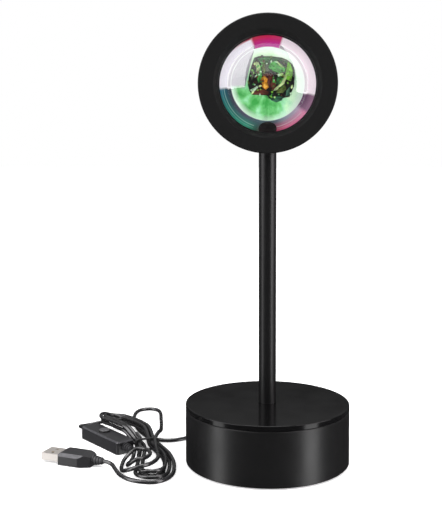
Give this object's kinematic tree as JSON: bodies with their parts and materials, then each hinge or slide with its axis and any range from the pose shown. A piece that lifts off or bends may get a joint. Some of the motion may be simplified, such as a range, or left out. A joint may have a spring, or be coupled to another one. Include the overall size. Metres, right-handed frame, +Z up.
{
  "type": "sunset projection lamp",
  "caption": "Desk lamp with a round tilting projector head and domed lens on a straight pole, a heavy round base, and a bundled cord with switch and plug.",
  "frame": {"origin": "middle of the base's underside, on the table", "axes": "+Z up along the pole; the lamp's head faces -Y, and +X is to the right of a viewer who looks at its lens"},
  "size_m": [0.1886, 0.1553, 0.27],
  "materials": {
    "rubber": "matte",
    "dark_steel": "black zinc",
    "steel": "plain",
    "cast": "plain cast",
    "black_gloss": "black, glossy paint",
    "black_matte": "black, matte paint",
    "brass": "plain",
    "white_plastic": "plain",
    "black_plastic": "fine grain",
    "lens_glass": "clear with a faint coating",
    "filter": "coloured film on glass",
    "board": "white mask",
    "chip": "phosphor yellow",
    "bare_aluminium": "bare",
    "cord": "smooth PVC",
    "circuit": "green board",
    "nickel": "nickel plate",
    "gold": "gold plate"
  },
  "bodies": {
    "stand": {"base_pad": "rubber", "bottom_plate": "dark_steel", "plate_screws": "steel", "counterweight": "cast", "weight_screws": "steel", "base_shell": "black_gloss", "base_lid": "black_gloss", "pole_nipple": "brass", "pole_washer": "steel", "pole_nut": "steel", "pole": "black_gloss", "inner_wire": "cord", "cord_clamp": "white_plastic", "clamp_screws": "steel", "cord_grommet": "rubber", "pole_knuckle": "black_matte", "cord_lead": "cord", "cord_hank": "cord", "hank_tie": "rubber", "cord_from_switch": "cord", "cord_to_plug": "cord", "switch_lower": "black_plastic", "switch_upper": "black_plastic", "switch_core": "circuit", "switch_screws": "dark_steel", "switch_relief_in": "rubber", "switch_relief_out": "rubber", "plug_shell": "nickel", "plug_tongue": "white_plastic", "plug_contacts": "gold", "plug_overmould": "black_plastic", "plug_relief": "rubber"},
    "head": {"hinge_bolt": "dark_steel", "hinge_washers": "steel", "hinge_nut": "dark_steel", "head_shell": "black_matte", "front_bezel": "black_matte", "lens_seal": "rubber", "lens": "lens_glass", "filter_disc": "filter", "filter_holder": "black_plastic", "light_tunnel": "black_plastic", "led_board": "board", "led_chip": "chip", "board_screws": "steel", "heat_sink": "bare_aluminium", "sink_screws": "dark_steel", "rear_cover": "black_matte", "cover_screws": "dark_steel", "led_wire": "cord"},
    "switch_button": {"switch_button": "black_plastic"}
  },
  "joints": [
    {"name": "head_tilt", "type": "hinge", "parent": "stand", "child": "head", "pos_m": [0, 0, 0.2025], "axis": [-1, 0, 0], "range_deg": [-20, 90]},
    {"name": "button_press", "type": "slide", "parent": "stand", "child": "switch_button", "axis": [0, 0, -1], "range_m": [0, 0.0012], "stiffness_N_per_m": 900, "springref_m": -0.0006}
  ]
}
